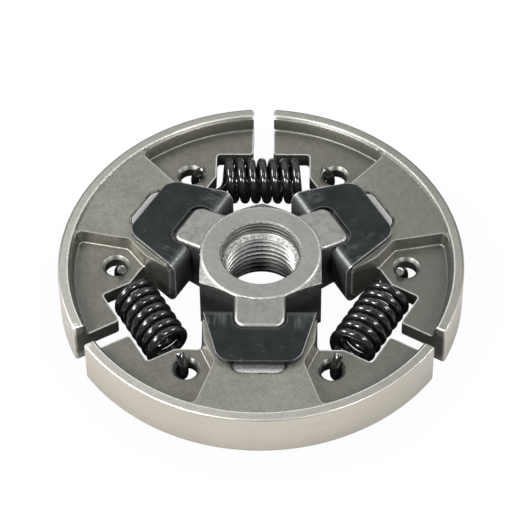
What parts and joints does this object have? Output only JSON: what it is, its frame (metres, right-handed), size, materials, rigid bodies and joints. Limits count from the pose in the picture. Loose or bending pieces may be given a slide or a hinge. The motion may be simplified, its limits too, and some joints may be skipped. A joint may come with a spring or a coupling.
{
  "type": "chainsaw clutch",
  "caption": "Centrifugal chainsaw clutch: a hexagon hub with radial arms guides spring-held shoes, which slide outwards at speed to grip the inside of a drum.",
  "frame": {"origin": "on the shaft axis, at the hub's back face, which seats on the crankshaft", "axes": "+Z along the shaft, from the seat to the hexagon; -Y along one arm, towards the middle of one shoe"},
  "size_m": [0.0636, 0.0637, 0.012],
  "materials": {
    "blasted_steel": "blasted satin",
    "sintered_iron": "sintered satin",
    "blackened_sheet": "blackened semi-gloss",
    "spring_wire": "oiled black gloss"
  },
  "bodies": {
    "hub": {"clutch_carrier": "blasted_steel", "tension_spring_1": "spring_wire", "tension_spring_2": "spring_wire", "tension_spring_3": "spring_wire"},
    "shoe_1": {"clutch_shoe_1": "sintered_iron", "shoe_retainer_1": "blackened_sheet"},
    "shoe_2": {"clutch_shoe_2": "sintered_iron", "shoe_retainer_2": "blackened_sheet"},
    "shoe_3": {"clutch_shoe_3": "sintered_iron", "shoe_retainer_3": "blackened_sheet"}
  },
  "joints": [
    {"name": "shoe_1_slide", "type": "slide", "parent": "hub", "child": "shoe_1", "axis": [0, -1, 0], "range_m": [0, 0.0012], "stiffness_N_per_m": 2000, "springref_m": -0.001, "deforming": ["tension_spring_3", "tension_spring_1"]},
    {"name": "shoe_2_slide", "type": "slide", "parent": "hub", "child": "shoe_2", "axis": [0.866, 0.5, 0], "range_m": [0, 0.0012], "stiffness_N_per_m": 2000, "springref_m": -0.001, "deforming": ["tension_spring_1", "tension_spring_2"]},
    {"name": "shoe_3_slide", "type": "slide", "parent": "hub", "child": "shoe_3", "axis": [-0.866, 0.5, 0], "range_m": [0, 0.0012], "stiffness_N_per_m": 2000, "springref_m": -0.001, "deforming": ["tension_spring_2", "tension_spring_3"]}
  ]
}
